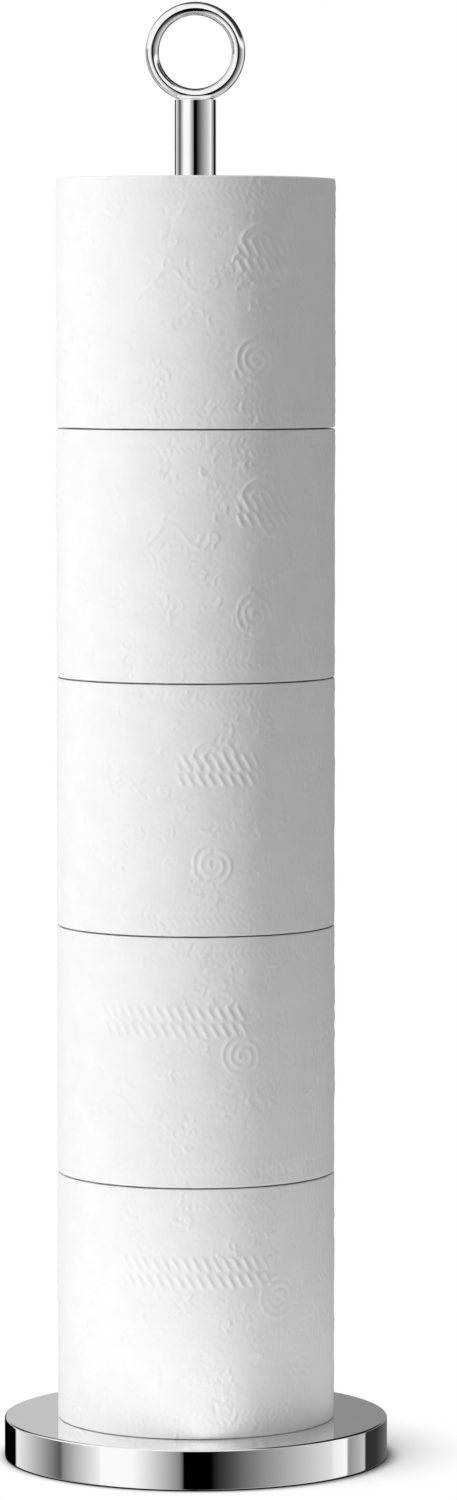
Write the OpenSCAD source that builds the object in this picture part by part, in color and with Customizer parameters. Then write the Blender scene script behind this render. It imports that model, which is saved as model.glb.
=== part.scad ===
// Free-standing storage post for spare toilet rolls: a weighted chrome base, a pole
// and a ring handle, with a stack of rolls whose cores pass over the handle.
// The rubber foot's underside is at z = 0, the pole is on the Z axis and the ring faces the Y axis.

/* [Rolls] */
// Number of rolls that the post holds
roll_count = 5; // [1:1:6]
// Outer diameter of a roll
roll_d = 109; // [95:1:125]
// Height of a roll, the width of its paper
roll_h = 96.4; // [90:0.1:110]
// Rounding of a roll's outer edges
roll_edge_r = 0.8; // [0.3:0.1:4]
// Bore of the cardboard core
core_bore_d = 42; // [41:0.5:46]
// Wall of the cardboard core
core_wall = 1.2; // [0.6:0.1:2]
// Running gap under each roll
roll_gap = 0.3; // [0.1:0.1:1]

/* [Base] */
// Diameter of the base
base_d = 150; // [130:1:180]
// Height of the base from the floor to its top face
base_h = 16; // [14:1:24]
// Sheet thickness of the drawn base shell
shell_wall = 1.2; // [0.8:0.1:2]
// Rounding of the shell's top edge
shell_edge_r = 0.8; // [0.4:0.1:3]
// Rounding of the shell's lower rim
shell_rim_r = 0.4; // [0.1:0.1:0.8]
// Gap between the floor and the shell's rim
rim_gap = 0.5; // [0.3:0.1:1.5]
// Thickness of the rubber foot
foot_t = 2; // [1.8:0.1:3]
// How far the rubber foot is set in from the weight's edge
foot_inset = 1; // [0:0.5:5]
// Radial clearance of the weight in the shell
weight_clear = 0.4; // [0.1:0.1:1.5]
// Thickness of the weight above its bolt recess
weight_web = 4.3; // [3:0.1:5]
// Diameter of the bolt recess in the weight
recess_d = 28; // [26:1:36]

/* [Pole] */
// Outer diameter of the pole
pole_d = 16; // [14:1:25]
// Wall of the pole's tube
pole_wall = 1; // [0.8:0.1:1.5]
// Length of the pole above the top roll
pole_show = 30.1; // [20:0.1:80]
// Rounding of the pole's upper edge
pole_edge_r = 0.2; // [0.1:0.1:0.7]
// Length of the threaded plug in the pole's foot
foot_plug_len = 20; // [14:1:40]
// Length of the threaded plug in the pole's top
top_plug_len = 18; // [16:1:40]

/* [Ring handle] */
// Outer diameter of the ring
ring_od = 38.6; // [32:0.1:40]
// Diameter of the ring's wire
ring_wire_d = 5.2; // [4:0.1:7]
// Depth of the saddle that the ring sits in
ring_sink = 0.95; // [0.4:0.05:1.2]
// Diameter of the threaded stud under the ring
stud_d = 6; // [4:1:8]
// Length of the stud
stud_len = 12; // [8:1:15]
// Thread pitch of the stud
stud_pitch = 1; // [0.7:0.05:1.25]

/* [Fasteners] */
// Thread diameter of the pole's bolt
bolt_d = 8; // [6:1:8]
// Length of the bolt under its head
bolt_len = 25; // [20:1:32]
// Thread pitch of the bolt
bolt_pitch = 1.25; // [0.8:0.05:1.5]
// Diameter of the bolt's head
bolt_head_d = 14; // [12:0.5:20]
// Height of the bolt's head
bolt_head_h = 4.4; // [3:0.1:4.6]
// Rounding of the bolt head's edge
bolt_head_r = 2.4; // [0.5:0.1:2.8]
// Width across flats of the hex socket
socket_w = 5; // [3:0.5:6]
// Depth of the hex socket
socket_depth = 2.6; // [1.5:0.1:2.8]
// Outer diameter of the flat washer
washer_od = 24; // [18:1:25]
// Thickness of the flat washer
washer_t = 1.6; // [1:0.1:2]
// Outer diameter of the spring washer
spring_washer_od = 14.8; // [13:0.1:17]
// Thickness of the spring washer
spring_washer_t = 2; // [1.2:0.1:2.2]
// Width of the spring washer's split
split_w = 1.5; // [0.8:0.1:3]

/* [Fits] */
// Radial clearance of threads, plugs and glued tubes
fit_gap = 0.05; // [0.02:0.01:0.1]
// Radial clearance of the holes that the bolt passes through
hole_gap = 0.4; // [0.2:0.1:0.6]

/* [Hidden] */
$fn = 96;
// Cuts run this far past a face
cut_over = 1;
// Thread depth as a share of the pitch
thread_depth_share = 0.6;
// Angle of the spring washer's slanting split
split_tilt = 20;

base_r = base_d / 2;
shell_inner_r = base_r - shell_wall;
shell_inner_top = base_h - shell_wall;
weight_r = shell_inner_r - weight_clear;
foot_r = weight_r - foot_inset;

recess_top = shell_inner_top - weight_web;
washer_z = recess_top - washer_t;
head_seat_z = washer_z - spring_washer_t;
through_d = bolt_d + 2 * hole_gap;

roll_pitch = roll_h + roll_gap;
pole_len = roll_count * roll_pitch + pole_show;
pole_top = base_h + pole_len;
plug_d = pole_d - 2 * (pole_wall + fit_gap);

ring_r = (ring_od - ring_wire_d) / 2;
ring_z = pole_top - ring_sink + ring_od / 2;

core_od = core_bore_d + 2 * core_wall;
paper_bore_d = core_od + 2 * fit_gap;

ROLL_NODES = [
    for (n = [1:roll_count], piece = ["paper", "core"]) str("roll_", n, "_", piece)
];
STAND_NODES = [
    "base_shell",
    "base_weight",
    "rubber_foot",
    "pole_bolt",
    "spring_washer",
    "flat_washer",
    "pole_tube",
    "pole_foot_plug",
    "pole_top_plug",
    "handle_stud",
    "handle_ring"
];

// Height of the underside of roll n, counted from the bottom
function roll_z(n) = base_h + roll_gap + (n - 1) * roll_pitch;

// What a convex edge of radius r takes off a square corner centred at the arc's centre
module corner_cut(r) {
    difference() {
        square(r + cut_over);
        circle(r);
    }
}

// Half section of a disc, w wide and h high, with its top and lower outer edges rounded
module disc_section(w, h, top_r, low_r) {
    difference() {
        square([w, h]);
        translate([w - top_r, h - top_r])
            corner_cut(top_r);
        translate([w - low_r, low_r])
            mirror([0, 1])
                corner_cut(low_r);
    }
}

// Flat ring with its lower face at z = 0
module washer_ring(od, bore, t) {
    difference() {
        cylinder(d = od, h = t);
        translate([0, 0, -cut_over])
            cylinder(d = bore, h = t + 2 * cut_over);
    }
}

// Rod standing on z = 0 with thread grooves round it
module threaded_rod(d, length, pitch) {
    turns = floor(length / pitch);
    root_r = d / 2 - pitch * thread_depth_share;
    crests = [
        for (i = [0:turns - 1])
            each [[d / 2, i * pitch], [root_r, (i + 0.5) * pitch]]
    ];
    rotate_extrude()
        polygon(concat([[0, 0]], crests, [[d / 2, turns * pitch], [d / 2, length], [0, length]]));
}

// The ring's solid, its wire grown by a clearance all round
module ring_torus(clearance) {
    translate([0, 0, ring_z])
        rotate([90, 0, 0])
            rotate_extrude()
                translate([ring_r, 0])
                    circle(d = ring_wire_d + 2 * clearance);
}

module base_shell() {
    shell_h = base_h - rim_gap;
    color("silver")
        translate([0, 0, rim_gap])
            rotate_extrude()
                difference() {
                    disc_section(base_r, shell_h, shell_edge_r, shell_rim_r);
                    translate([0, -cut_over])
                        square([shell_inner_r, shell_h - shell_wall + cut_over]);
                    square([through_d / 2, shell_h + cut_over]);
                }
}

module base_weight() {
    weight_h = shell_inner_top - foot_t;
    color("dimgray")
        translate([0, 0, foot_t])
            difference() {
                cylinder(r = weight_r, h = weight_h);
                translate([0, 0, -cut_over])
                    cylinder(d = recess_d, h = recess_top - foot_t + cut_over);
                translate([0, 0, -cut_over])
                    cylinder(d = through_d, h = weight_h + 2 * cut_over);
            }
}

module rubber_foot() {
    color("#202224")
        washer_ring(2 * foot_r, recess_d, foot_t);
}

module flat_washer() {
    color("lightgray")
        translate([0, 0, washer_z])
            washer_ring(washer_od, through_d, washer_t);
}

module spring_washer() {
    color("darkgray")
        translate([0, 0, head_seat_z])
            difference() {
                washer_ring(spring_washer_od, through_d, spring_washer_t);
                translate([spring_washer_od / 2, 0, spring_washer_t / 2])
                    rotate([split_tilt, 0, 0])
                        cube([spring_washer_od, split_w, 3 * spring_washer_t], center = true);
            }
}

module pole_bolt() {
    color("lightsteelblue") {
        translate([0, 0, head_seat_z])
            threaded_rod(bolt_d, bolt_len, bolt_pitch);
        difference() {
            translate([0, 0, head_seat_z])
                mirror([0, 0, 1])
                    rotate_extrude()
                        difference() {
                            square([bolt_head_d / 2, bolt_head_h]);
                            translate([bolt_head_d / 2 - bolt_head_r, bolt_head_h - bolt_head_r])
                                corner_cut(bolt_head_r);
                        }
            translate([0, 0, head_seat_z - bolt_head_h - cut_over])
                cylinder(d = socket_w / cos(30), h = socket_depth + cut_over, $fn = 6);
        }
    }
}

module pole_tube() {
    color("silver")
        difference() {
            translate([0, 0, base_h])
                rotate_extrude()
                    difference() {
                        square([pole_d / 2, pole_len]);
                        translate([pole_d / 2 - pole_edge_r, pole_len - pole_edge_r])
                            corner_cut(pole_edge_r);
                        translate([0, -cut_over])
                            square([pole_d / 2 - pole_wall, pole_len + 2 * cut_over]);
                    }
            ring_torus(fit_gap);
        }
}

module pole_foot_plug() {
    color("goldenrod")
        translate([0, 0, base_h])
            washer_ring(plug_d, bolt_d + 2 * fit_gap, foot_plug_len);
}

module pole_top_plug() {
    color("silver")
        difference() {
            translate([0, 0, pole_top - top_plug_len])
                cylinder(d = plug_d, h = top_plug_len);
            translate([0, 0, pole_top - stud_len])
                cylinder(d = stud_d + 2 * fit_gap, h = stud_len + cut_over);
            ring_torus(fit_gap);
        }
}

module handle_stud() {
    color("lightsteelblue")
        difference() {
            translate([0, 0, pole_top - stud_len])
                threaded_rod(stud_d, stud_len, stud_pitch);
            ring_torus(0);
        }
}

module handle_ring() {
    color("silver")
        ring_torus(0);
}

module roll_paper(n) {
    color("white")
        translate([0, 0, roll_z(n)])
            rotate_extrude()
                difference() {
                    disc_section(roll_d / 2, roll_h, roll_edge_r, roll_edge_r);
                    translate([0, -cut_over])
                        square([paper_bore_d / 2, roll_h + 2 * cut_over]);
                }
}

module roll_core(n) {
    color("burlywood")
        translate([0, 0, roll_z(n)])
            washer_ring(core_od, core_bore_d, roll_h);
}

base_shell();
base_weight();
rubber_foot();
pole_bolt();
spring_washer();
flat_washer();
pole_tube();
pole_foot_plug();
pole_top_plug();
handle_stud();
handle_ring();
for (n = [1:roll_count]) {
    roll_paper(n);
    roll_core(n);
}
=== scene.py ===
"""Looks of the toilet roll storage post: chrome stand, five embossed rolls, plain studio."""

import math

import bpy
import numpy as np
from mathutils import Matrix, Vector


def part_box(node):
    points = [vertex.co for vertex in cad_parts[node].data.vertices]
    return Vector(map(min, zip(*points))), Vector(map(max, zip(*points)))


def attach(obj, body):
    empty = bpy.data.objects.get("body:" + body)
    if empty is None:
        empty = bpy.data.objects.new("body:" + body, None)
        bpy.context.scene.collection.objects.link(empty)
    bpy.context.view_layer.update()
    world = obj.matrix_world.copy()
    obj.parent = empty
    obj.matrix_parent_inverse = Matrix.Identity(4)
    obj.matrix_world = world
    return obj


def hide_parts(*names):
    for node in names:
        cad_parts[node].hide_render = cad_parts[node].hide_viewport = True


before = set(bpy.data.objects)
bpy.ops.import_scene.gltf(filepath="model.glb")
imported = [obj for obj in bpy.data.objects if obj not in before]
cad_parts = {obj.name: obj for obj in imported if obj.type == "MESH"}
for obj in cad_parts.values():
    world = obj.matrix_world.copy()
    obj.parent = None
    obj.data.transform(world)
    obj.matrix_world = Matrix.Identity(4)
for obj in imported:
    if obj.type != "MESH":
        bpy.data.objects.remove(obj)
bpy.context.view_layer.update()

MM = 0.001

# Camera, as fitted to the photograph's edges; the sensor's size lies along the frame's height
CAMERA_DISTANCE = 2311.4 * MM
CAMERA_HEIGHT = 437.6 * MM
CAMERA_PITCH = math.radians(3.962)
CAMERA_YAW = math.radians(0.317)
FOCAL_PX = 5946.2
PHOTO_HEIGHT_PX = 1500
SENSOR_MM = 36.0
CLIP_NEAR, CLIP_FAR = 0.05, 50.0

# Light, in metres and watts, with azimuths counted from the camera's side (-Y) towards +X
SOFTBOX_DISTANCE = 1.4
SOFTBOX_HEIGHT = 0.62
SOFTBOX_SIZE = 0.24
SOFTBOX_AIM_HEIGHT = 0.3
KEY_AZIMUTH = math.radians(-60.0)
KEY_WATTS = 12.8
FILL_LEVEL = 0.354
# Weaker softboxes behind and straight above, for the sides and ends that the photograph doesn't show
BACK_AZIMUTH = math.radians(178.0)
BACK_WATTS = 6.0
TOP_HEIGHT = 4.0
TOP_SIZE = 0.5
TOP_WATTS = 36.0
# Light that the floor and the plate of the base send back up: azimuth in degrees, distance from the
# axis, height, size and power
BOUNCES = [
    (30.0, 0.20, 0.0004, 0.32, 0.13),
    (-35.0, 0.17, 0.0004, 0.18, 0.05),
    (4.0, 0.085, 0.0168, 0.06, 0.0066),
    (72.0, 0.09, 0.0168, 0.06, 0.004),
]
BOUNCE_AIM_HEIGHT = 2.0

# Floor: its tone in other surfaces' light, and how it darkens where it is less open. The shade of
# contact and the shade cast to the right each have a reach in metres, the elevation of the side that
# is looked at, and the brightness on a screen for some shares of openness
FLOOR_SIZE = 6.0
FLOOR_TONE = 0.57
CONTACT_REACH = 0.008
CONTACT_ELEVATION = math.radians(80.0)
CONTACT_SHADE = [(0.12, 0.10), (0.42, 0.38), (0.64, 0.80), (0.78, 0.95), (0.9, 1.0)]
CAST_REACH = 0.065
CAST_ELEVATION = math.radians(22.0)
CAST_SHADE = [(0.45, 0.76), (0.55, 0.84), (0.65, 0.91), (0.78, 0.97), (0.88, 1.0)]
SHADE_SAMPLES = 24

# Stand, in mm; an extra row beside a rounding keeps the face next to it flat
SHELL_WALL = 1.2
SHELL_EDGE_R = 0.8
SHELL_LIP_R = 0.4
SHELL_HOLE_R = 4.4
POLE_WALL = 1.0
POLE_EDGE_R = 0.2
SHELL_SIDE_ROW = 0.25
FACE_ROW = 0.3
POLE_SIDE_ROW = 0.2
SHELL_SEGMENTS = 384
POLE_SEGMENTS = 128
RING_SEGMENTS, WIRE_SEGMENTS = 256, 64

# Rolls, in mm
ROLL_COUNT = 5
ROLL_OUTER_R = 54.28
EDGE_R = 0.55
EDGE_STEPS = (80, 55, 30)
WRAP_DEPTH = 1.5
LAYER_GAP = 0.05
END_INSET = 0.1
TOP_INSET = 0.4
BASE_SETTLE = 0.2
# Mesh steps up the roll, round its front and round the rest, and how far the front's steps reach
ROW_STEP = 0.6
FINE_STEP = 0.45
COARSE_STEP = 0.75
FINE_REACH = 62.0
# Loose tail: azimuth, its step over the turn below and the gap beside it, its lift and its torn edge
TAIL_ANGLE = math.pi
TAIL_STEP = 0.3
TAIL_GAP = 0.12
TAIL_LIFT = 0.35
TAIL_LIFT_REACH = 9.0
TAIL_LIFT_WAVE = 11.0
TEAR_DEPTH = 0.35
TEAR_REACH = 16.0
TEAR_DRIFT = 0.5
TEAR_DRIFT_WAVE = 17.0
# Perforated joints between the sheets
SHEETS_ROUND = 3
PERFORATION = 2.4
JOINT_DEPTH = 0.07
JOINT_WIDTH = 0.6
# Wound layers on the ends: how they dish, in random waves between two lengths
WINDING_COLUMNS = 240
WINDING_RINGS = 30
DISH_CELL = 1.1
DISH_WAVES = (5.0, 25.0)
DISH_DEPTH = 0.12
DISH_MOST = 0.6
# Seeds of the random draws, to which each roll adds its place in the row
SHEET_SEED = 100
WINDING_SEED = 200

# Where each roll's pattern lies, from the lowest roll up: where its band of strokes starts and ends
# and how high it is, and the middles of its spiral and its sprig, in mm round the roll from the side
# that faces the camera and in mm above its foot
UPPER_PATTERN = {"band": (16.0, 40.0), "band_z": 65.5, "spiral": (24.0, 26.0), "sprig": (-8.0, 56.0)}
PATTERN = [
    {"band": (-29.5, 31.0), "band_z": 64.2, "spiral": (34.0, 53.0), "sprig": (-44.0, 38.0)},
    {"band": (-39.0, 20.0), "band_z": 63.9, "spiral": (18.5, 50.5), "sprig": (-30.0, 30.0)},
    {"band": (-7.0, 25.0), "band_z": 63.2, "spiral": (7.0, 27.2), "sprig": (-27.0, 56.0)},
    UPPER_PATTERN,
    UPPER_PATTERN,
]
# Bands: two rows of slanted bars, higher on the front sheet. A long band has no arches over it
LONG_BAND = 45.0
LONG_BAND_BARS = (4.9, 4.9)
SHORT_BAND_BARS = (4.6, 6.4)
BAR_PITCH = 3.95
BAR_SLOPE = 0.56
BAR_STAGGER = 0.4
BAR_ROW_GAP = 6.6
BAR_WIDTH = 0.8
BAR_FADE_OUT, BAR_FADE_IN = 0.5, 0.7
BAND_FADE = 1.0
FRONT_BAR_RISE = 0.42
OTHER_BAR_RISE = 0.26
# Drawn lines: how many of its widths a line reaches, then each line's width and height. A spiral
# starts at an angle in radians, and an arch has its ends in degrees
LINE_REACH = 3.0
POINTS_A_TURN = 24
BOW_POINTS = 20
SPIRAL_R = 8.8
SPIRAL_TURNS = 2.6
SPIRAL_START = 5.4
SPIRAL_EYE = 0.8
SPIRAL_LINE = (0.6, 0.25)
ARCH_RADII = (8.6, 4.6)
ARCH_SHIFT = (-2.0, 3.6)
ARCH_ENDS = (10, 172)
ARCH_LINE = (0.6, 0.28)
SPRIG_LENGTH = 27.0
SPRIG_LINE = (0.62, 0.22)
# Border marks near both ends of the roll, which fade out between two half lengths
BORDER_FOOT = 8.0
BORDER_HEAD = 5.7
BORDER_COUNT = 130
BORDER_ROW_GAP = 3.5
BORDER_LEAN = 0.8
BORDER_WIDTH = 0.55
BORDER_HALF_LENGTH = (1.5, 0.8)
BORDER_RISE = 0.11
# Unevenness of the paper: height and shortest and longest wave
CRINKLE = (0.026, 1.9, 6.5)
CREASE = (0.055, 3.0, 14.0)
SWELL = (0.04, 14.0, 60.0)
ROUGH_WAVES = (12.0, 50.0)
ROUGH_LEAST = 0.45
ROUGH_RISE = (-0.2, 1.6)
PAPER_DROP = 0.04
# Curled creases: least and most of the roughness they need, radius, start, sweep and height
CURL_TRIES = 1500
CURL_WIDTH = 0.48
CURL_LEAST = (0.5, 0.9, 0, 50, 0.1)
CURL_MOST = (1.5, 2.4, 360, 150, 0.25)

# What polished metal sees round the studio: softboxes, graded walls and black flags, each from one
# azimuth to another, in degrees from the camera's side towards +X, with the brightness at both ends
# as it looks on a screen. The floor level is seen below the horizon
FLOOR_LEVEL = [
    (-180, -139.5, 0.0, 0.0), (-138, -110, 0.95, 0.70), (-110, -88.7, 0.70, 0.32),
    (-88.4, -60, 0.50, 0.95), (-59, -38, 1.0, 1.0), (-38, -9, 1.0, 0.52), (-7.5, 9, 0.0, 0.0),
    (9, 21, 0.0, 0.30), (21, 45, 0.30, 0.60), (45, 89, 0.60, 0.88), (91, 103, 0.94, 1.0),
    (104.3, 122.6, 0.57, 0.77), (123.6, 140, 0.18, 0.20), (140, 180, 0.20, 0.5),
]
EYE_LEVEL = [
    (-180, -142, 0.05, 0.05), (-139, -110, 0.95, 0.60), (-110, -97, 0.60, 0.25), (-93, -66, 0.45, 1.0),
    (-66, -38, 1.0, 1.0), (-38, -13, 1.0, 0.55), (-8, 5, 0.0, 0.0), (5, 22, 0.0, 0.38),
    (22, 64, 0.38, 0.76), (64, 88, 0.76, 0.90), (91, 98, 1.0, 1.0), (101, 118, 0.70, 0.66),
    (123, 145, 0.1, 0.1), (152, 180, 0.5, 0.6),
]
LOW_WALL = [(-180, -120, 0.77, 0.77), (-90, 90, 1.0, 1.0), (120, 180, 0.56, 0.56)]
HIGH_WALL = [
    (-180, -136, 0.05, 0.05), (-127, 32, 0.98, 0.98), (50, 110, 0.2, 0.22), (122, 180, 0.05, 0.05),
]
TOP_WALL = [(-180, -150, 0.3, 0.3), (-120, 40, 0.97, 0.97), (72, 180, 0.3, 0.3)]
# The two elevations in degrees between which each further level takes over from the one below
HIGHER_LEVELS = [
    (EYE_LEVEL, -7.0, -3.0),
    (LOW_WALL, 5.0, 8.0),
    (HIGH_WALL, 13.0, 20.0),
    (TOP_WALL, 50.0, 60.0),
]
CEILING_FROM, CEILING_FULL = 74.0, 86.0
CEILING = 0.6


def linear(value):
    """Linear light for a brightness from 0 to 1 as it is seen on a screen."""
    return value / 12.92 if value <= 0.04045 else ((value + 0.055) / 1.055) ** 2.4


def smoothstep(low, high, x):
    """Smooth rise from 0 at low to 1 at high, or a fall where low is the greater."""
    t = np.clip((x - low) / (high - low), 0.0, 1.0)
    return t * t * (3.0 - 2.0 * t)


def wrapped(x, period):
    """Signed distance from the nearest multiple of a period."""
    return (x + period / 2) % period - period / 2


def even_turn(count):
    """Angles in radians at even steps over one full turn."""
    return np.arange(count) * 2 * math.pi / count


def direction(azimuth, elevation):
    """Unit vector towards an azimuth counted from -Y towards +X, and an elevation."""
    flat = math.cos(elevation)
    return Vector((math.sin(azimuth) * flat, -math.cos(azimuth) * flat, math.sin(elevation)))


# Camera
def make_camera():
    data = bpy.data.cameras.new("camera")
    data.sensor_width = SENSOR_MM
    data.lens = FOCAL_PX / PHOTO_HEIGHT_PX * SENSOR_MM
    data.clip_start = CLIP_NEAR
    data.clip_end = CLIP_FAR
    camera = bpy.data.objects.new("camera", data)
    bpy.context.scene.collection.objects.link(camera)
    camera.location = (0.0, -CAMERA_DISTANCE, CAMERA_HEIGHT)
    camera.rotation_euler = (math.pi / 2 - CAMERA_PITCH, 0.0, -CAMERA_YAW)
    bpy.context.scene.camera = camera


# Mesh building
def new_piece(name, vertices, faces, material, body):
    """A smooth mesh piece of quads, in millimetres, that rides on a body."""
    mesh = bpy.data.meshes.new(name)
    mesh.vertices.add(len(vertices))
    mesh.vertices.foreach_set("co", (np.asarray(vertices, np.float32) * MM).ravel())
    faces = np.asarray(faces, np.int32)
    mesh.loops.add(faces.size)
    mesh.loops.foreach_set("vertex_index", faces.ravel())
    mesh.polygons.add(len(faces))
    mesh.polygons.foreach_set("loop_start", np.arange(0, faces.size, 4, dtype=np.int32))
    mesh.polygons.foreach_set("loop_total", np.full(len(faces), 4, np.int32))
    mesh.polygons.foreach_set("use_smooth", np.ones(len(faces), bool))
    mesh.update(calc_edges=True)
    mesh.materials.append(material)
    piece = bpy.data.objects.new(name, mesh)
    bpy.context.scene.collection.objects.link(piece)
    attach(piece, body)
    return piece


def tube_faces(rows, columns):
    """Quads of a grid that closes on itself both ways, facing outwards."""
    r, c = np.meshgrid(np.arange(rows), np.arange(columns), indexing="ij")
    r2, c2 = (r + 1) % rows, (c + 1) % columns
    quads = np.stack([r * columns + c, r * columns + c2, r2 * columns + c2, r2 * columns + c], -1)
    return quads.reshape(-1, 4)


def round_axis(radius, azimuth, height):
    """Points round the Z axis, with azimuths counted from -Y towards +X."""
    points = np.stack([radius * np.sin(azimuth), -radius * np.cos(azimuth), height], -1)
    return points.reshape(-1, 3)


def lathe(name, profile, segments, material, body):
    """A closed profile of (radius, height) points turned about the Z axis."""
    profile = np.asarray(profile, float)
    turn = even_turn(segments)
    radius, height = profile[:, :1], profile[:, 1:]
    points = np.stack([radius * np.cos(turn), radius * np.sin(turn), height + 0 * turn], -1)
    faces = tube_faces(len(profile), segments)
    piece = new_piece(name, points.reshape(-1, 3), faces, material, body)
    piece.data.set_sharp_from_angle(angle=math.radians(35))
    return piece


def arc(centre, radius, start, end, steps):
    """Points on an arc in the half section, with angles in degrees from the +radius direction."""
    angles = np.radians(np.linspace(start, end, steps + 1))
    return [(centre[0] + radius * math.cos(a), centre[1] + radius * math.sin(a)) for a in angles]


# Materials
class Nodes:
    """Short way to add shader nodes to a material or world."""

    def __init__(self, owner):
        owner.use_nodes = True
        self.tree = owner.node_tree
        self.tree.nodes.clear()

    def add(self, kind, inputs=None, **settings):
        made = self.tree.nodes.new(kind)
        for key, value in settings.items():
            setattr(made, key, value)
        for key, value in (inputs or {}).items():
            if isinstance(value, bpy.types.NodeSocket):
                self.tree.links.new(value, made.inputs[key])
            else:
                made.inputs[key].default_value = value
        return made

    def math(self, operation, *values):
        inputs = dict(enumerate(values))
        return self.add("ShaderNodeMath", inputs, operation=operation).outputs[0]

    def ramp(self, factor, stops):
        """Colours at rising places from 0 to 1, with straight fades between them."""
        made = self.add("ShaderNodeValToRGB", {"Fac": factor})
        elements = made.color_ramp.elements
        while len(elements) > 1:
            elements.remove(elements[-1])
        elements[0].position = stops[0][0]
        for place, _ in stops[1:]:
            elements.new(place)
        for element, (_, colour) in zip(elements, stops):
            element.color = colour if len(colour) == 4 else (*colour, 1.0)
        return made.outputs["Color"]

    def noise(self, scale, detail, vector=None):
        """Noise with a number of features per metre, in the object's own coordinates by default."""
        inputs = {"Scale": scale, "Detail": detail}
        inputs["Vector"] = vector or self.add("ShaderNodeTexCoord").outputs["Object"]
        return self.add("ShaderNodeTexNoise", inputs).outputs["Fac"]

    def blend(self, factor, first, second, blend_type="MIX"):
        inputs = {0: factor, 6: first, 7: second}
        made = self.add("ShaderNodeMix", inputs, data_type="RGBA", blend_type=blend_type)
        return made.outputs[2]

    def spread(self, value, span, result):
        """A value's place in a span, carried over to a range of results."""
        inputs = {"Value": value, "From Min": span[0], "From Max": span[1]}
        inputs.update({"To Min": result[0], "To Max": result[1]})
        return self.add("ShaderNodeMapRange", inputs).outputs["Result"]

    def bump(self, height, strength, distance):
        inputs = {"Height": height, "Strength": strength, "Distance": distance}
        return self.add("ShaderNodeBump", inputs).outputs[0]


def grey(value):
    return (value, value, value, 1.0)


def finish_surface(nodes, inputs):
    shader = nodes.add("ShaderNodeBsdfPrincipled", inputs)
    nodes.add("ShaderNodeOutputMaterial", {"Surface": shader.outputs[0]})


def chrome_material():
    """Polished plating with a faint haze."""
    material = bpy.data.materials.new("chrome_plate")
    nodes = Nodes(material)
    haze = nodes.noise(scale=60.0, detail=4.0)
    tone = nodes.ramp(haze, [(0.3, (0.93, 0.935, 0.94)), (0.7, (0.96, 0.96, 0.96))])
    roughness = nodes.spread(haze, (0.3, 0.7), (0.012, 0.03))
    finish_surface(nodes, {"Base Color": tone, "Metallic": 1.0, "Roughness": roughness})
    return material


def zinc_material():
    """Zinc plating with small crystals."""
    material = bpy.data.materials.new("zinc_steel")
    nodes = Nodes(material)
    spangle = nodes.noise(scale=900.0, detail=5.0)
    tone = nodes.ramp(spangle, [(0.3, (0.5, 0.52, 0.55)), (0.7, (0.68, 0.7, 0.72))])
    roughness = nodes.spread(spangle, (0.3, 0.7), (0.25, 0.42))
    finish_surface(nodes, {"Base Color": tone, "Metallic": 1.0, "Roughness": roughness})
    return material


def cast_iron_material():
    """Dark iron with the grain of the sand mould."""
    material = bpy.data.materials.new("cast_iron")
    nodes = Nodes(material)
    sand = nodes.noise(scale=1400.0, detail=6.0)
    blotch = nodes.noise(scale=70.0, detail=3.0)
    tone = nodes.ramp(blotch, [(0.35, (0.045, 0.045, 0.048)), (0.7, (0.09, 0.088, 0.088))])
    bump = nodes.bump(sand, strength=0.6, distance=0.0003)
    finish_surface(
        nodes, {"Base Color": tone, "Metallic": 0.3, "Roughness": 0.7, "Normal": bump}
    )
    return material


def rubber_material():
    """Black rubber with a fine grain and some dust."""
    material = bpy.data.materials.new("foot_rubber")
    nodes = Nodes(material)
    grain = nodes.noise(scale=2200.0, detail=3.0)
    dust = nodes.noise(scale=120.0, detail=5.0)
    tone = nodes.ramp(dust, [(0.4, (0.018, 0.018, 0.02)), (0.75, (0.05, 0.05, 0.052))])
    bump = nodes.bump(grain, strength=0.5, distance=0.0002)
    finish_surface(nodes, {"Base Color": tone, "Roughness": 0.8, "Normal": bump})
    return material


def cardboard_material():
    """Kraft tube with fibres and the spiral seam of its plies."""
    seam_rise = 0.075
    seam_edge = 0.015
    seam_dark = 0.72
    fibre_stretch = 6.0
    material = bpy.data.materials.new("core_board")
    nodes = Nodes(material)
    place = nodes.add("ShaderNodeTexCoord").outputs["Object"]
    inputs = {"Vector": place, "Scale": (1.0, 1.0, fibre_stretch)}
    stretched = nodes.add("ShaderNodeMapping", inputs).outputs[0]
    fibre = nodes.noise(scale=420.0, detail=6.0, vector=stretched)
    axes = nodes.add("ShaderNodeSeparateXYZ", {"Vector": place})
    turn = nodes.math("ARCTAN2", axes.outputs["Y"], axes.outputs["X"])
    climb = nodes.math("MULTIPLY", axes.outputs["Z"], 1.0 / seam_rise)
    phase = nodes.math("ADD", nodes.math("DIVIDE", turn, 2 * math.pi), climb)
    seam_stops = [(0.0, seam_dark), (seam_edge, 1.0), (1.0 - seam_edge, 1.0), (1.0, seam_dark)]
    seam = nodes.ramp(
        nodes.math("FRACT", phase), [(share, grey(level)) for share, level in seam_stops]
    )
    tone = nodes.ramp(fibre, [(0.3, (0.42, 0.32, 0.22)), (0.7, (0.62, 0.5, 0.37))])
    seamed = nodes.blend(1.0, tone, seam, "MULTIPLY")
    bump = nodes.bump(fibre, strength=0.4, distance=0.0002)
    finish_surface(nodes, {"Base Color": seamed, "Roughness": 0.85, "Normal": bump})
    return material


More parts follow.
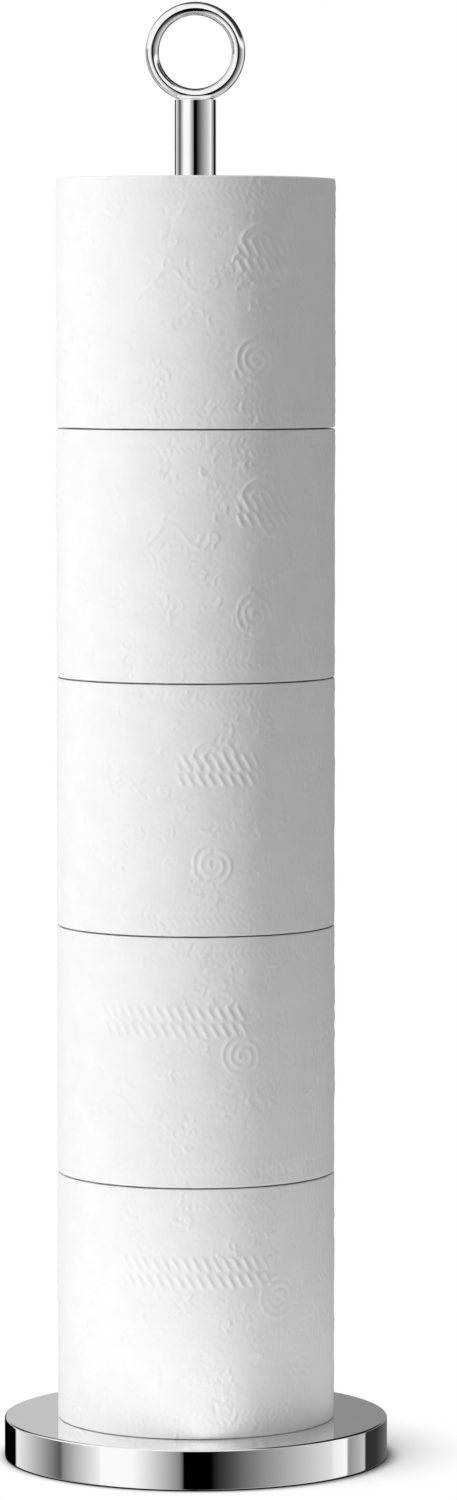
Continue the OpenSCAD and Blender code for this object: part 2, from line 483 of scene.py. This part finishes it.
def layer_ridges(nodes, place):
    """Ridge of each wound layer, from 0 in the gaps to 1, on a slightly wandering spiral."""
    layer_pitch = 0.0007
    wander_reach = 0.004
    axes = nodes.add("ShaderNodeSeparateXYZ", {"Vector": place})
    x, y = axes.outputs["X"], axes.outputs["Y"]
    squares = nodes.math("ADD", nodes.math("MULTIPLY", x, x), nodes.math("MULTIPLY", y, y))
    wander = nodes.math("MULTIPLY", nodes.noise(scale=55.0, detail=3.0), wander_reach)
    radius = nodes.math("ADD", nodes.math("SQRT", squares), wander)
    turns = nodes.math("DIVIDE", nodes.math("ARCTAN2", y, x), 2 * math.pi)
    layer = nodes.math("DIVIDE", radius, layer_pitch)
    phase = nodes.math("FRACT", nodes.math("ADD", layer, turns))
    return nodes.math("SINE", nodes.math("MULTIPLY", phase, math.pi))


def tissue_material():
    """Soft white tissue: fine crepe on the sheet and wound layers on the ends of the roll."""
    fibre_share, crepe_share, ridge_share = 0.4, 0.6, 2.2
    material = bpy.data.materials.new("tissue_paper")
    nodes = Nodes(material)
    ridge = layer_ridges(nodes, nodes.add("ShaderNodeTexCoord").outputs["Object"])
    normal = nodes.add("ShaderNodeNewGeometry").outputs["Normal"]
    facing = nodes.add("ShaderNodeSeparateXYZ", {"Vector": normal})
    upright = nodes.math("ABSOLUTE", facing.outputs["Z"])
    on_end = nodes.spread(upright, (0.7, 0.95), (0.0, 1.0))

    fibre = nodes.math("MULTIPLY", nodes.noise(scale=1500.0, detail=6.0), fibre_share)
    crepe = nodes.math("MULTIPLY", nodes.noise(scale=420.0, detail=4.0), crepe_share)
    end_relief = nodes.math("MULTIPLY", nodes.math("MULTIPLY", ridge, on_end), ridge_share)
    height = nodes.math("ADD", nodes.math("ADD", fibre, crepe), end_relief)
    bump = nodes.bump(height, strength=0.35, distance=0.00018)

    cloud = nodes.noise(scale=90.0, detail=5.0)
    tone = nodes.ramp(cloud, [(0.3, (0.855, 0.855, 0.857)), (0.7, (0.885, 0.885, 0.885))])
    # Painted shade: the ends of the roll darken in the gaps between wound layers, down to 0.78 of the
    # paper's tone
    gap = nodes.math("MULTIPLY", nodes.math("SUBTRACT", 1.0, ridge), on_end)
    shade = nodes.ramp(gap, [(0.0, grey(1.0)), (0.55, grey(0.97)), (1.0, grey(0.78))])
    shaded = nodes.blend(1.0, tone, shade, "MULTIPLY")
    inputs = {"Base Color": shaded, "Roughness": 0.92, "Specular IOR Level": 0.15, "Normal": bump}
    finish_surface(nodes, inputs)
    return material


# Unevenness of paper
def soft_noise(rng, rows, columns, cell, shortest, longest):
    """Random field with unit spread, periodic, holding only wavelengths in a band (mm)."""
    field = np.fft.rfft2(rng.standard_normal((rows, columns)))
    fz = np.fft.fftfreq(rows, cell)[:, None]
    fu = np.fft.rfftfreq(columns, cell)[None, :]
    f = np.hypot(fz, fu)
    band = np.exp(-((f * shortest) ** 2)) * (1.0 - np.exp(-((f * longest) ** 2)))
    out = np.fft.irfft2(field * band, s=(rows, columns))
    return out / out.std()


def uneven(rng, v, u, around, shortest, longest):
    """Soft noise drawn on an even grid and read at uneven places round the roll."""
    columns = int(around / ROW_STEP)
    even = np.linspace(-around / 2, around / 2, columns, endpoint=False)
    drawn = soft_noise(rng, len(v), columns, ROW_STEP, shortest, longest)
    return np.stack([np.interp(u, even, row, period=around) for row in drawn])


# Embossed ornament
def emboss(relief, u, v, line, width, rise, around):
    """Raises a soft ridge along a line of (u, v) points on the relief."""
    line = np.asarray(line, float)
    reach = LINE_REACH * width
    centre = line[:, 0].mean()
    du = wrapped(u - centre, around)
    lu = line[:, 0] - centre
    columns = np.flatnonzero((du > lu.min() - reach) & (du < lu.max() + reach))
    rows = np.flatnonzero((v > line[:, 1].min() - reach) & (v < line[:, 1].max() + reach))
    if not len(columns) or not len(rows):
        return
    pu, pv = np.meshgrid(du[columns], v[rows])
    best = np.full(pu.shape, np.inf)
    for (u0, v0), (u1, v1) in zip(zip(lu[:-1], line[:-1, 1]), zip(lu[1:], line[1:, 1])):
        eu, ev = u1 - u0, v1 - v0
        t = np.clip(((pu - u0) * eu + (pv - v0) * ev) / (eu * eu + ev * ev + 1e-9), 0.0, 1.0)
        best = np.minimum(best, np.hypot(pu - u0 - t * eu, pv - v0 - t * ev))
    ridge = rise * np.exp(-((best / width) ** 2))
    window = np.ix_(rows, columns)
    relief[window] = np.maximum(relief[window], ridge)


def round_point(centre, radius, angle):
    return np.stack([centre[0] + radius * np.cos(angle), centre[1] + radius * np.sin(angle)], -1)


def spiral(centre, outer_r, turns, start):
    """Line that winds outwards clockwise from a small eye."""
    t = np.linspace(0.0, 1.0, int(POINTS_A_TURN * turns))
    radius = SPIRAL_EYE + (outer_r - SPIRAL_EYE) * t
    return round_point(centre, radius, start - t * turns * 2 * math.pi)


def bow(centre, radius, start, end):
    """Part of a circle between two angles in degrees."""
    return round_point(centre, radius, np.radians(np.linspace(start, end, BOW_POINTS)))


def sprig(centre, length):
    """A bent stem with a curl at its end and leaflets beside it."""
    steps = 24
    leaf_r = 2.1
    leaf_shift = 1.0
    t = np.linspace(0.0, 1.0, steps + 1)
    sway = 0.17 * length * np.sin(7.2 * t - 1.5)
    stem = np.stack([centre[0] + length * (t - 0.5), centre[1] + sway], -1)
    lines = [stem]
    for share, lean in ((0.15, 1), (0.25, -1), (0.38, 1)):
        foot = stem[int(share * steps)]
        middle = (foot[0] + leaf_shift, foot[1] + leaf_r * lean)
        lines.append(bow(middle, leaf_r, 200 * lean, 60 * lean))
    tip = (stem[-1][0] + 1.0, stem[-1][1] + 2.0)
    lines.append(spiral(tip, outer_r=2.6, turns=1.1, start=5.0))
    return lines


def soft_bars(across, pitch, width, ends):
    """Soft ridges one pitch apart, faded where ends falls to 0."""
    return np.exp(-((wrapped(across, pitch) / width) ** 2)) * ends[:, None]


def stroke_rows(u, v, first, last, middle, lengths, around):
    """Two rows of slanted soft bars between two places round the roll."""
    out = np.zeros((len(v), len(u)))
    du = wrapped(u - (first + last) / 2, around)
    half = (last - first) / 2
    inside = smoothstep(half + BAND_FADE, half - BAND_FADE, np.abs(du))
    for row, length in zip((-0.5, 0.5), lengths):
        dv = v - (middle + row * BAR_ROW_GAP)
        across = du[None, :] + BAR_SLOPE * dv[:, None] + row * BAR_PITCH * BAR_STAGGER
        ends = smoothstep(length / 2 + BAR_FADE_OUT, length / 2 - BAR_FADE_IN, np.abs(dv))
        out = np.maximum(out, soft_bars(across, BAR_PITCH, BAR_WIDTH, ends))
    return out * inside[None, :]


def border_marks(u, v, middle, around):
    """Two rows of short marks with opposite slants that run round the roll near an end."""
    pitch = around / BORDER_COUNT
    out = np.zeros((len(v), len(u)))
    for row, lean in ((-0.5, BORDER_LEAN), (0.5, -BORDER_LEAN)):
        dv = v - (middle + row * BORDER_ROW_GAP)
        across = u[None, :] + lean * dv[:, None]
        ends = smoothstep(*BORDER_HALF_LENGTH, np.abs(dv))
        out = np.maximum(out, soft_bars(across, pitch, BORDER_WIDTH, ends))
    return out


def curled_marks(rng, relief, u, v, rough, around):
    """Short curled creases at random places, raised where the sheet is rough enough."""
    for _ in range(CURL_TRIES):
        row, column = rng.integers(len(v)), rng.integers(len(u))
        limit, radius, start, sweep, rise = rng.uniform(CURL_LEAST, CURL_MOST)
        if rough[row, column] > limit:
            mark = bow((u[column], v[row]), radius, start, start + sweep)
            emboss(relief, u, v, mark, CURL_WIDTH, rise, around)


def ornament(place, u, v, around):
    """Raised pattern of the sheets round the roll, without the border marks."""
    relief = np.zeros((len(v), len(u)))
    first, last = place["band"]
    long_band = last - first > LONG_BAND
    lengths = LONG_BAND_BARS if long_band else SHORT_BAND_BARS
    for n in range(SHEETS_ROUND):
        shift = n * around / SHEETS_ROUND
        rise = FRONT_BAR_RISE if n == 0 else OTHER_BAR_RISE
        bars = stroke_rows(u, v, first + shift, last + shift, place["band_z"], lengths, around)
        relief = np.maximum(relief, rise * bars)
        su, sv = place["spiral"]
        curl = spiral((su + shift, sv), SPIRAL_R, SPIRAL_TURNS, SPIRAL_START)
        emboss(relief, u, v, curl, *SPIRAL_LINE, around)
        arch = ((first + last) / 2 + ARCH_SHIFT[0] + shift, place["band_z"] + ARCH_SHIFT[1])
        for radius in () if long_band else ARCH_RADII:
            emboss(relief, u, v, bow(arch, radius, *ARCH_ENDS), *ARCH_LINE, around)
        gu, gv = place["sprig"]
        for line in sprig((gu + shift, gv), SPRIG_LENGTH):
            emboss(relief, u, v, line, *SPRIG_LINE, around)
    return relief


def sheet_relief(index, u, v, around, height):
    """Raised pattern and crinkles of the outer sheet, in mm, on a grid of places round and up."""
    rng = np.random.default_rng(SHEET_SEED + index)
    relief = ornament(PATTERN[index], u, v, around)
    for middle in (BORDER_FOOT, height - BORDER_HEAD):
        relief = np.maximum(relief, BORDER_RISE * border_marks(u, v, middle, around))
    crinkle = CRINKLE[0] * uneven(rng, v, u, around, *CRINKLE[1:])
    crease = -CREASE[0] * np.abs(uneven(rng, v, u, around, *CREASE[1:]))
    rough = ROUGH_LEAST + smoothstep(*ROUGH_RISE, uneven(rng, v, u, around, *ROUGH_WAVES))
    swell = SWELL[0] * uneven(rng, v, u, around, *SWELL[1:])
    curled_marks(rng, relief, u, v, rough, around)
    return relief + rough * (crinkle + crease) + swell - PAPER_DROP


# Rolls
def places_round(around):
    """Places round the roll, close together on the front and wider apart elsewhere."""
    return np.concatenate([
        np.arange(-around / 2, -FINE_REACH, COARSE_STEP),
        np.arange(-FINE_REACH, FINE_REACH, FINE_STEP),
        np.arange(FINE_REACH, around / 2 - TAIL_GAP, COARSE_STEP),
    ])


def press_joints(relief, u, v, around):
    """Presses the perforated joints between the sheets into the relief."""
    dashes = 0.5 + 0.5 * np.sign(np.sin(v * 2 * math.pi / PERFORATION))
    for k in range(1, SHEETS_ROUND):
        joint = (k - SHEETS_ROUND / 2) * around / SHEETS_ROUND
        groove = JOINT_DEPTH * np.exp(-(((u - joint) / JOINT_WIDTH) ** 2))
        relief -= groove[None, :] * (0.4 + 0.6 * dashes)[:, None]


def tail_lift(u, v, around):
    """How far the loose tail stands off the roll."""
    rise = TAIL_LIFT * smoothstep(around / 2 - TAIL_LIFT_REACH, around / 2, u)
    return rise[None, :] * (0.6 + 0.4 * np.sin(v / TAIL_LIFT_WAVE))[:, None]


def torn_shift(u, v, around):
    """Sideways shift near the tail that gives it a torn edge."""
    teeth = TEAR_DEPTH * np.sin(v * 2 * math.pi / PERFORATION)
    ragged = teeth + TEAR_DRIFT * np.sin(v / TEAR_DRIFT_WAVE)
    near_tail = smoothstep(TEAR_REACH, 0.0, around / 2 - np.abs(u))
    return ragged[:, None] * near_tail[None, :]


def edge_row(radius, angle, end, inward, step):
    """A row of the rounded edge at one end of the roll, as radius, height and angle."""
    height = end + inward * EDGE_R * (1 - math.sin(step))
    return radius - EDGE_R * (1 - math.cos(step)), np.full(len(radius), height), angle


def make_wrap(n, low, high, material):
    """The outer sheets of roll n, with the embossed pattern, the sheet joints and the loose tail."""
    height = (high - low) / MM
    around = 2 * math.pi * ROLL_OUTER_R
    side_rows = int((height - 2 * EDGE_R) / ROW_STEP)
    v = np.linspace(EDGE_R, height - EDGE_R, side_rows)
    u = places_round(around)
    turn = u / ROLL_OUTER_R + math.pi
    relief = sheet_relief(n - 1, u, v, around, height)
    press_joints(relief, u, v, around)
    lap = TAIL_STEP * (turn / (2 * math.pi) - 1.0)
    radius = ROLL_OUTER_R + lap[None, :] + relief + tail_lift(u, v, around)
    angle = turn[None, :] + torn_shift(u, v, around) / ROLL_OUTER_R

    steps = np.radians(EDGE_STEPS)
    columns = len(u)
    inner = ROLL_OUTER_R - TAIL_STEP - WRAP_DEPTH
    rows = [edge_row(radius[0], angle[0], 0.0, 1.0, step) for step in steps]
    rows += [(radius[k], np.full(columns, v[k]), angle[k]) for k in range(side_rows)]
    rows += [edge_row(radius[-1], angle[-1], height, -1.0, step) for step in steps[::-1]]
    rows += [(np.full(columns, inner), np.full(columns, z), turn) for z in (height, 0.0)]
    r, z, a = (np.array(part) for part in zip(*rows))
    vertices = round_axis(r, a + TAIL_ANGLE, z + low / MM)
    faces = tube_faces(len(r), columns)
    return new_piece(f"roll_{n}_wrap", vertices, faces, material, f"roll_{n}")


def make_winding(n, low, high, bore_r, material):
    """The wound layers inside the outer sheets, seen on the ends of roll n."""
    rng = np.random.default_rng(WINDING_SEED + n)
    height = (high - low) / MM
    outer = ROLL_OUTER_R - TAIL_STEP - WRAP_DEPTH - LAYER_GAP
    radii = np.linspace(outer, bore_r, WINDING_RINGS)
    waves = soft_noise(rng, WINDING_RINGS, WINDING_COLUMNS, DISH_CELL, *DISH_WAVES)
    across = np.clip((outer - radii) / (outer - bore_r), 0, 1)
    dish = DISH_DEPTH * (1 + waves) * np.sin(np.pi * across)[:, None]
    dish = np.clip(dish, 0.0, DISH_MOST)
    r = np.concatenate([radii, radii[::-1]])[:, None] + np.zeros(WINDING_COLUMNS)
    z = np.concatenate([height - dish, dish[::-1]])
    vertices = round_axis(r, even_turn(WINDING_COLUMNS), z + low / MM)
    faces = tube_faces(len(r), WINDING_COLUMNS)
    piece = new_piece(
        f"roll_{n}_winding", vertices, faces, material, f"roll_{n}"
    )
    piece.data.set_sharp_from_angle(angle=math.radians(50))
    return piece


def make_rolls(tissue):
    for n in range(1, ROLL_COUNT + 1):
        low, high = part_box(f"roll_{n}_paper")
        core_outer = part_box(f"roll_{n}_core")[1].x / MM
        foot = low.z - BASE_SETTLE * MM if n == 1 else low.z + END_INSET * MM
        top = high.z - (TOP_INSET if n == ROLL_COUNT else END_INSET) * MM
        wrap = make_wrap(n, foot, top, tissue)
        winding = make_winding(n, foot, top, core_outer + LAYER_GAP, tissue)
        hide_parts(f"roll_{n}_paper")
        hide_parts(f"roll_{n}_paper")


# Stand
def make_base_shell(chrome):
    low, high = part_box("base_shell")
    outer, top, rim = high.x / MM, high.z / MM, low.z / MM
    inner, ceiling = outer - SHELL_WALL, top - SHELL_WALL
    side_foot, side_top = rim + SHELL_LIP_R, top - SHELL_EDGE_R
    plate_r = outer - SHELL_EDGE_R
    profile = [(inner, rim), (outer - SHELL_LIP_R, rim)]
    profile += arc((outer - SHELL_LIP_R, side_foot), SHELL_LIP_R, -75, 0, 5)
    profile += [(outer, side_foot + SHELL_SIDE_ROW), (outer, side_top - SHELL_SIDE_ROW)]
    profile += arc((plate_r, side_top), SHELL_EDGE_R, 0, 90, 8)
    profile += [(plate_r - FACE_ROW, top), (SHELL_HOLE_R, top)]
    profile += [(SHELL_HOLE_R, ceiling), (inner, ceiling)]
    shell = lathe("base_cover", profile, SHELL_SEGMENTS, chrome, "stand")
    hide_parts("base_shell")


def make_pole(chrome):
    low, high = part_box("pole_tube")
    outer, top, foot = high.x / MM, high.z / MM, low.z / MM
    inner, side_top = outer - POLE_WALL, top - POLE_EDGE_R
    profile = [(inner, foot), (outer, foot)]
    profile += [(outer, foot + FACE_ROW), (outer, side_top - POLE_SIDE_ROW)]
    profile += arc((outer - POLE_EDGE_R, side_top), POLE_EDGE_R, 0, 90, 6)
    profile += [(inner, top)]
    pole = lathe("pole", profile, POLE_SEGMENTS, chrome, "stand")
    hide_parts("pole_tube")


def make_ring(chrome):
    low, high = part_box("handle_ring")
    wire_r = high.y / MM
    ring_r = high.x / MM - wire_r
    centre_z = (low.z + high.z) / 2 / MM
    turn = even_turn(RING_SEGMENTS)
    section = even_turn(WIRE_SEGMENTS)[:, None]
    radius = ring_r + wire_r * np.cos(section)
    depth = wire_r * np.sin(section) + 0 * turn
    points = np.stack([radius * np.cos(turn), depth, centre_z + radius * np.sin(turn)], -1)
    faces = tube_faces(WIRE_SEGMENTS, RING_SEGMENTS)[:, ::-1]
    ring = new_piece("ring", points.reshape(-1, 3), faces, chrome, "stand")
    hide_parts("handle_ring")


def dress(names_by_material):
    """Gives materials to the CAD nodes that no new piece replaces."""
    for material, names in names_by_material:
        for name in names:
            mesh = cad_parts[name].data
            mesh.materials.clear()
            mesh.materials.append(material)


# Studio
def floor_shade(nodes, reach, elevation, seen):
    """Brightness of the floor by how open it is towards the key's side, up to a reach in metres."""
    towards = direction(KEY_AZIMUTH, elevation)
    normal = nodes.add("ShaderNodeCombineXYZ", {"X": towards.x, "Y": towards.y, "Z": towards.z})
    inputs = {"Distance": reach, "Normal": normal.outputs[0]}
    shaded = nodes.add("ShaderNodeAmbientOcclusion", inputs, samples=SHADE_SAMPLES)
    return nodes.ramp(shaded.outputs["AO"], [(share, grey(linear(level))) for share, level in seen])


def floor_material():
    """White of the backdrop for the camera, darkened by the object, and a pale tone for the light."""
    material = bpy.data.materials.new("studio_floor")
    nodes = Nodes(material)
    contact = floor_shade(nodes, CONTACT_REACH, CONTACT_ELEVATION, CONTACT_SHADE)
    cast = floor_shade(nodes, CAST_REACH, CAST_ELEVATION, CAST_SHADE)
    shade = nodes.blend(1.0, contact, cast, "MULTIPLY")
    glow = nodes.add("ShaderNodeEmission", {"Color": shade, "Strength": 1.0})
    pale = nodes.add("ShaderNodeBsdfDiffuse", {"Color": grey(FLOOR_TONE)})
    path = nodes.add("ShaderNodeLightPath")
    inputs = {0: path.outputs["Is Camera Ray"], 1: pale.outputs[0], 2: glow.outputs[0]}
    surface = nodes.add("ShaderNodeMixShader", inputs)
    nodes.add("ShaderNodeOutputMaterial", {"Surface": surface.outputs[0]})
    return material


def make_floor():
    mesh = bpy.data.meshes.new("studio_floor")
    half = FLOOR_SIZE / 2
    corners = [(-half, -half, 0.0), (half, -half, 0.0), (half, half, 0.0), (-half, half, 0.0)]
    mesh.from_pydata(corners, [], [(0, 1, 2, 3)])
    mesh.materials.append(floor_material())
    floor = bpy.data.objects.new("studio_floor", mesh)
    bpy.context.scene.collection.objects.link(floor)
    floor.visible_glossy = False


def wall_colour(nodes, share, cards):
    """Colour round one level of the studio, from 0 to 1 for azimuths from -180 to 180 degrees."""
    stops = []
    for start, end, first, last in cards:
        stops.append(((start + 180) / 360, grey(linear(first))))
        stops.append(((end + 180) / 360, grey(linear(last))))
    return nodes.ramp(share, stops)


def above(nodes, height, low, high, under, over):
    """Fades from one colour to another between two elevations in degrees."""
    span = (math.sin(math.radians(low)), math.sin(math.radians(high)))
    return nodes.blend(nodes.spread(height, span, (0.0, 1.0)), under, over)


def studio_colour(nodes):
    """What polished metal sees in each direction."""
    look = nodes.add("ShaderNodeTexCoord").outputs["Generated"]
    axes = nodes.add("ShaderNodeSeparateXYZ", {"Vector": look})
    backwards = nodes.math("MULTIPLY", axes.outputs["Y"], -1.0)
    azimuth = nodes.math("ARCTAN2", axes.outputs["X"], backwards)
    share = nodes.math("ADD", nodes.math("DIVIDE", azimuth, 2 * math.pi), 0.5)
    height = axes.outputs["Z"]
    seen = wall_colour(nodes, share, FLOOR_LEVEL)
    for cards, low, high in HIGHER_LEVELS:
        seen = above(nodes, height, low, high, seen, wall_colour(nodes, share, cards))
    return above(nodes, height, CEILING_FROM, CEILING_FULL, seen, grey(linear(CEILING)))


def make_world():
    """White backdrop, an even fill on matt surfaces, and the studio round polished ones."""
    world = bpy.data.worlds.new("studio")
    bpy.context.scene.world = world
    nodes = Nodes(world)
    seen = studio_colour(nodes)
    path = nodes.add("ShaderNodeLightPath").outputs
    fill = nodes.add("ShaderNodeBackground", {"Color": grey(1.0), "Strength": FILL_LEVEL})
    reflected = nodes.add("ShaderNodeBackground", {"Color": seen, "Strength": 1.0})
    backdrop = nodes.add("ShaderNodeBackground", {"Color": grey(1.0), "Strength": 1.0})
    inputs = {0: path["Is Glossy Ray"], 1: fill.outputs[0], 2: reflected.outputs[0]}
    lit = nodes.add("ShaderNodeMixShader", inputs)
    clear = nodes.math("MAXIMUM", path["Is Camera Ray"], path["Is Transmission Ray"])
    inputs = {0: clear, 1: lit.outputs[0], 2: backdrop.outputs[0]}
    out = nodes.add("ShaderNodeMixShader", inputs)
    nodes.add("ShaderNodeOutputWorld", {"Surface": out.outputs[0]})


def make_lamp(name, place, aim, size, watts):
    """A round area lamp that neither the camera nor a reflection shows."""
    data = bpy.data.lights.new(name, "AREA")
    data.shape = "DISK"
    data.size = size
    data.energy = watts
    lamp = bpy.data.objects.new(name, data)
    lamp.location = place
    lamp.rotation_euler = (Vector(place) - Vector(aim)).to_track_quat("Z", "Y").to_euler()
    lamp.visible_camera = False
    lamp.visible_glossy = False
    bpy.context.scene.collection.objects.link(lamp)


def make_lamps():
    softboxes = (("key", KEY_AZIMUTH, KEY_WATTS), ("back", BACK_AZIMUTH, BACK_WATTS))
    for name, azimuth, watts in softboxes:
        place = direction(azimuth, 0.0) * SOFTBOX_DISTANCE
        place.z = SOFTBOX_HEIGHT
        make_lamp(f"{name}_softbox", place, (0.0, 0.0, SOFTBOX_AIM_HEIGHT), SOFTBOX_SIZE, watts)
    make_lamp("top_softbox", (0.0, 0.0, TOP_HEIGHT), (0.0, 0.0, 0.0), TOP_SIZE, TOP_WATTS)
    for azimuth, distance, height, size, watts in BOUNCES:
        spot = direction(math.radians(azimuth), 0.0) * distance
        aim = (spot.x, spot.y, BOUNCE_AIM_HEIGHT)
        make_lamp("bounce", (spot.x, spot.y, height), aim, size, watts)


make_camera()
chrome = chrome_material()
zinc = zinc_material()
tissue = tissue_material()
dress([
    (chrome, ["pole_top_plug"]),
    (zinc, ["pole_bolt", "spring_washer", "flat_washer", "pole_foot_plug", "handle_stud"]),
    (cast_iron_material(), ["base_weight"]),
    (rubber_material(), ["rubber_foot"]),
    (cardboard_material(), [f"roll_{n}_core" for n in range(1, ROLL_COUNT + 1)]),
])
make_base_shell(chrome)
make_pole(chrome)
make_ring(chrome)
make_rolls(tissue)
make_floor()
make_world()
make_lamps()
bpy.context.scene.view_settings.view_transform = "Standard"
